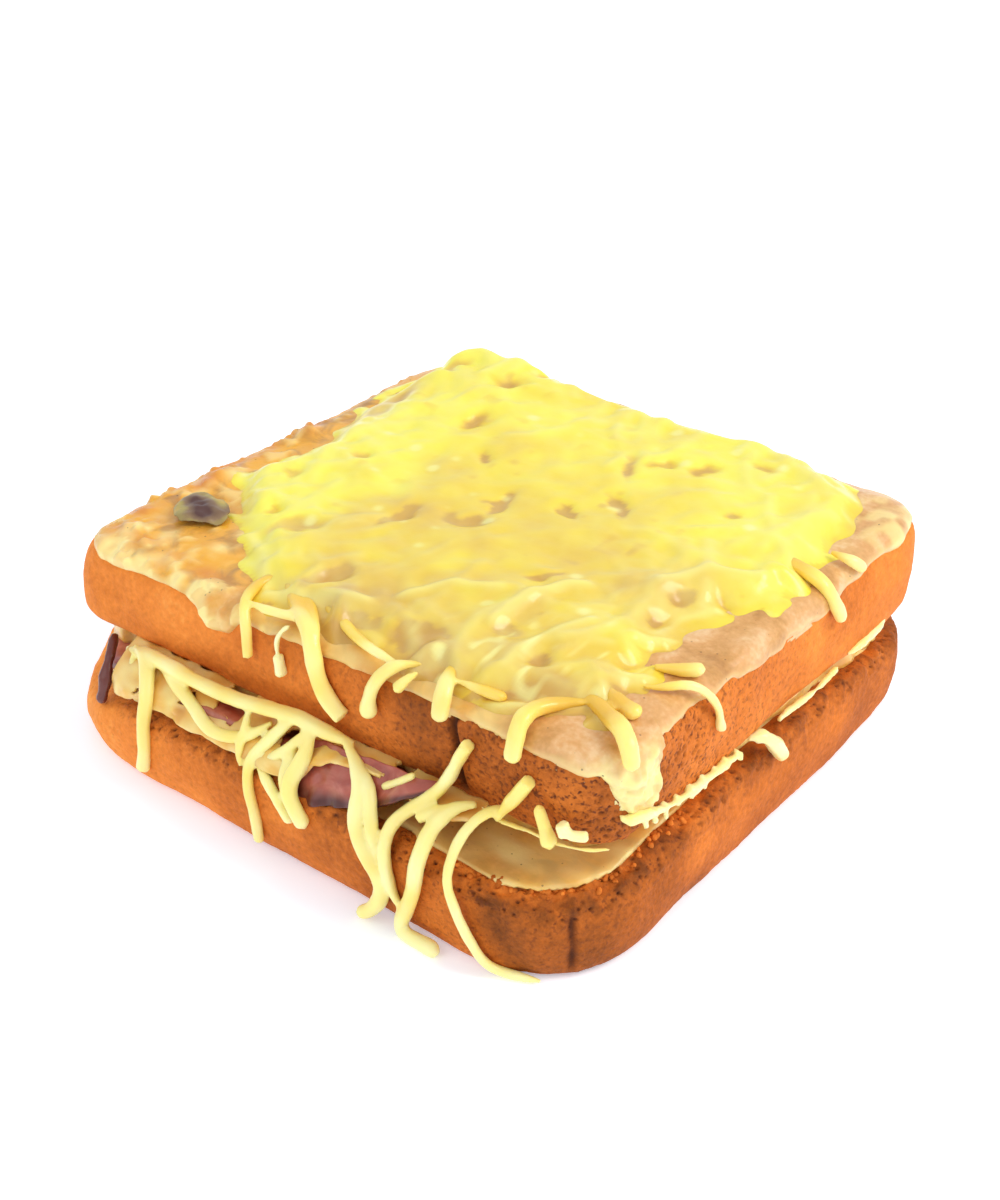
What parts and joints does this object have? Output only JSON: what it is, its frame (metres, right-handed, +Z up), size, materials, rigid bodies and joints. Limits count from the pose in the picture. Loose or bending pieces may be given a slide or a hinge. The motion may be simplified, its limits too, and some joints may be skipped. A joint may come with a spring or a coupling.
{
  "type": "croque monsieur",
  "caption": "Baked ham and cheese sandwich on square toasted bread, with bechamel and melted grated cheese on top and strands hanging from the filling.",
  "frame": {"origin": "middle of the sandwich's box in plan, on the surface that it stands on", "axes": "+Z up; -Y is the front face, where the filling's cheese strands hang down; +X is the right face"},
  "size_m": [0.113, 0.1068, 0.0411],
  "materials": {
    "toasted_crust": "dry toasted bread crust",
    "baked_bechamel": "satin set sauce",
    "cooked_ham": "moist cured meat",
    "melted_cheese": "soft satin melted cheese",
    "browned_bit": "dark baked bit"
  },
  "bodies": {
    "root": {"bottom_slice": "toasted_crust", "bottom_bechamel": "baked_bechamel", "ham": "cooked_ham", "filling_cheese": "melted_cheese", "top_slice": "toasted_crust", "top_bechamel": "baked_bechamel", "top_cheese": "melted_cheese", "topping_bit": "browned_bit"}
  },
  "joints": []
}
